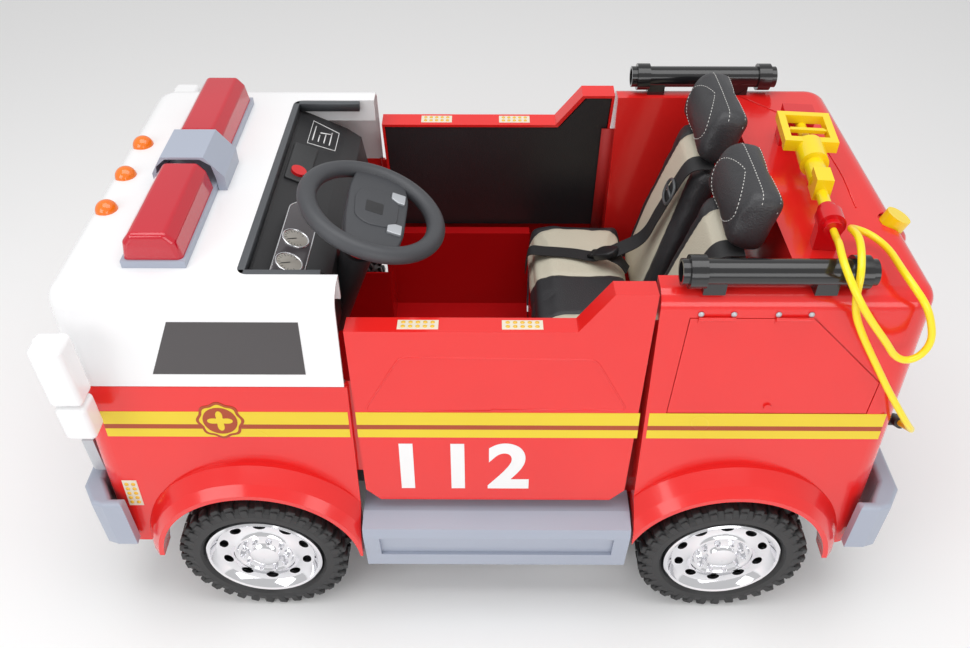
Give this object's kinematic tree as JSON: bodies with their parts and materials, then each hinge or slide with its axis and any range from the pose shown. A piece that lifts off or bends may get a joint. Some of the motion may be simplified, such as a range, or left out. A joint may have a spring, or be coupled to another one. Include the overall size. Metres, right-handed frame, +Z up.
{
  "type": "ride-on fire truck",
  "caption": "Battery-driven two-seat children's ride-on fire truck: red and white blown shells, opening doors, steered front wheels, bench seat, light bar and deck water hose.",
  "frame": {"origin": "middle of the truck on the ground it stands on", "axes": "+Z up, -X towards the front of the truck, -Y towards the driver's (left) side"},
  "size_m": [1.29, 0.748, 0.7304],
  "materials": {
    "red_shell": "gloss, self-coloured blown polyethylene",
    "red_tub": "gloss, deeper red",
    "white_shell": "gloss, self-coloured",
    "black_plastic": "fine grain",
    "grey_plastic": "satin",
    "red_lens": "gloss, tinted",
    "orange_lens": "gloss, tinted",
    "clear_lens": "gloss over a silvered bowl",
    "wheel_grey": "satin",
    "steel": "zinc plated",
    "red_trim": "gloss",
    "silver_button": "silver paint",
    "white_tank": "natural polyethylene",
    "leatherette": "grained leatherette",
    "webbing": "woven polypropylene",
    "yellow_plastic": "gloss",
    "yellow_hose": "smooth soft vinyl",
    "tyre": "moulded tread",
    "wheel_chrome": "vacuum plated"
  },
  "bodies": {
    "root": {"battery": "black_plastic", "beacons": "orange_lens", "belt_webbing": "webbing", "cab_shell": "white_shell", "chassis_tray": "black_plastic", "control_box": "black_plastic", "dashboard": "black_plastic", "door_hinges": "steel", "floor_tub": "red_tub", "front_bumper": "grey_plastic", "front_shell": "red_shell", "gun_clip": "red_trim", "headlamps": "clear_lens", "headrests": "leatherette", "hose_coupling": "red_trim", "hose_gland": "black_plastic", "lightbar_base": "grey_plastic", "lightbar_domes": "red_lens", "lightbar_strap": "grey_plastic", "motor_gearboxes": "black_plastic", "rail_tubes": "black_plastic", "rear_axle": "steel", "rear_bumper": "grey_plastic", "rear_shell": "red_shell", "seat_backs": "leatherette", "seat_base": "red_tub", "seat_cushion": "leatherette", "side_steps": "grey_plastic", "water_gun": "yellow_plastic", "water_hose": "yellow_hose", "water_tank": "white_tank"},
    "door_left": {"door_left": "red_shell", "door_left_panel": "black_plastic"},
    "door_right": {"door_right": "red_shell", "door_right_panel": "black_plastic"},
    "hatch_left": {"hatch_left": "red_shell"},
    "hatch_right": {"hatch_right": "red_shell"},
    "steering": {"steering_wheel": "wheel_grey", "steering_shaft": "steel"},
    "horn_button": {"horn_button": "silver_button"},
    "music_button": {"music_button": "silver_button"},
    "stalk": {"light_stalk": "red_trim"},
    "knuckle_left": {"knuckle_left": "steel"},
    "knuckle_right": {"knuckle_right": "steel"},
    "tie_rod": {"tie_rod": "steel"},
    "wheel_front_left": {"tyre_front_left": "tyre", "wheel_front_left": "wheel_chrome"},
    "wheel_front_right": {"tyre_front_right": "tyre", "wheel_front_right": "wheel_chrome"},
    "rear_wheels_left": {"tyre_rear_left": "tyre", "wheel_rear_left": "wheel_chrome"},
    "rear_wheels_right": {"tyre_rear_right": "tyre", "wheel_rear_right": "wheel_chrome"},
    "pedal": {"foot_pedal": "black_plastic"},
    "power_button": {"power_button": "red_trim"},
    "sound_button": {"sound_button": "red_trim"},
    "gun_trigger": {"gun_trigger": "yellow_plastic"},
    "filler_cap": {"filler_cap": "yellow_plastic"},
    "mirror_left": {"mirror_left": "white_shell"},
    "mirror_right": {"mirror_right": "white_shell"}
  },
  "joints": [
    {"name": "door_left", "type": "hinge", "parent": "root", "child": "door_left", "pos_m": [-0.212, -0.31282, 0.39357], "axis": [0, 0.0948, 0.9955], "range_deg": [-50, 0]},
    {"name": "door_right", "type": "hinge", "parent": "root", "child": "door_right", "pos_m": [-0.212, 0.31282, 0.39357], "axis": [0, -0.0948, 0.9955], "range_deg": [0, 50]},
    {"name": "hatch_left", "type": "hinge", "parent": "root", "child": "hatch_left", "pos_m": [0.3, -0.30411, 0.60519], "axis": [1, 0, 0], "range_deg": [-80, 0]},
    {"name": "hatch_right", "type": "hinge", "parent": "root", "child": "hatch_right", "pos_m": [0.3, 0.30411, 0.60519], "axis": [1, 0, 0], "range_deg": [0, 80]},
    {"name": "steering_turn", "type": "hinge", "parent": "root", "child": "steering", "pos_m": [-0.173, -0.13, 0.66], "axis": [0.3649, 0, 0.9311], "range_deg": [-36, 36]},
    {"name": "horn_button_press", "type": "slide", "parent": "steering", "child": "horn_button", "axis": [-0.3649, 0, -0.9311], "range_m": [0, 0.002], "stiffness_N_per_m": 300},
    {"name": "music_button_press", "type": "slide", "parent": "steering", "child": "music_button", "axis": [-0.3649, 0, -0.9311], "range_m": [0, 0.002], "stiffness_N_per_m": 300},
    {"name": "stalk_turn", "type": "hinge", "parent": "root", "child": "stalk", "pos_m": [-0.173, -0.13, 0.66], "axis": [0.3649, 0, 0.9311], "range_deg": [-12, 12]},
    {"name": "steer_left", "type": "hinge", "parent": "root", "child": "knuckle_left", "pos_m": [-0.371, -0.262, 0.138], "axis": [0, 0, 1], "range_deg": [-20.5, 20.5]},
    {"name": "steer_right", "type": "hinge", "parent": "root", "child": "knuckle_right", "pos_m": [-0.371, 0.262, 0.138], "axis": [0, 0, 1], "range_deg": [-20.5, 20.5]},
    {"name": "tie_rod_slide", "type": "slide", "parent": "root", "child": "tie_rod", "axis": [0, 1, 0], "range_m": [-0.0215, 0.0215]},
    {"name": "spin_front_left", "type": "hinge", "parent": "knuckle_left", "child": "wheel_front_left", "pos_m": [-0.371, -0.325, 0.1376], "axis": [0, 1, 0], "continuous": true},
    {"name": "spin_front_right", "type": "hinge", "parent": "knuckle_right", "child": "wheel_front_right", "pos_m": [-0.371, 0.325, 0.1376], "axis": [0, 1, 0], "continuous": true},
    {"name": "spin_rear_left", "type": "hinge", "parent": "root", "child": "rear_wheels_left", "pos_m": [0.379, -0.325, 0.1376], "axis": [0, 1, 0], "continuous": true},
    {"name": "spin_rear_right", "type": "hinge", "parent": "root", "child": "rear_wheels_right", "pos_m": [0.379, 0.325, 0.1376], "axis": [0, 1, 0], "continuous": true},
    {"name": "pedal_press", "type": "hinge", "parent": "root", "child": "pedal", "pos_m": [-0.21937, -0.04, 0.15739], "axis": [0, -1, 0], "range_deg": [0, 10], "stiffness_Nm_per_rad": 1.5},
    {"name": "power_press", "type": "slide", "parent": "root", "child": "power_button", "axis": [-0.4281, 0, -0.9037], "range_m": [0, 0.002], "stiffness_N_per_m": 300},
    {"name": "sound_press", "type": "slide", "parent": "root", "child": "sound_button", "axis": [-0.4281, 0, -0.9037], "range_m": [0, 0.002], "stiffness_N_per_m": 300},
    {"name": "trigger_squeeze", "type": "hinge", "parent": "root", "child": "gun_trigger", "pos_m": [0.49003, 0.0328, 0.7], "axis": [0.9951, -0.0993, 0], "range_deg": [0, 20], "stiffness_Nm_per_rad": 0.1},
    {"name": "cap_lift", "type": "slide", "parent": "root", "child": "filler_cap", "axis": [0.3746, 0, 0.9272], "range_m": [0, 0.03]},
    {"name": "mirror_left", "type": "hinge", "parent": "root", "child": "mirror_left", "pos_m": [-0.596, -0.32, 0.452], "axis": [0, 0, 1], "range_deg": [0, 20]},
    {"name": "mirror_right", "type": "hinge", "parent": "root", "child": "mirror_right", "pos_m": [-0.596, 0.32, 0.452], "axis": [0, 0, 1], "range_deg": [-20, 0]}
  ],
  "couplings": [
    {"joint": "steer_left", "follows": "steering_turn", "ratio": 0.5556},
    {"joint": "steer_right", "follows": "steering_turn", "ratio": 0.5556},
    {"joint": "tie_rod_slide", "follows": "steering_turn", "m_per_rad": 0.0333}
  ]
}
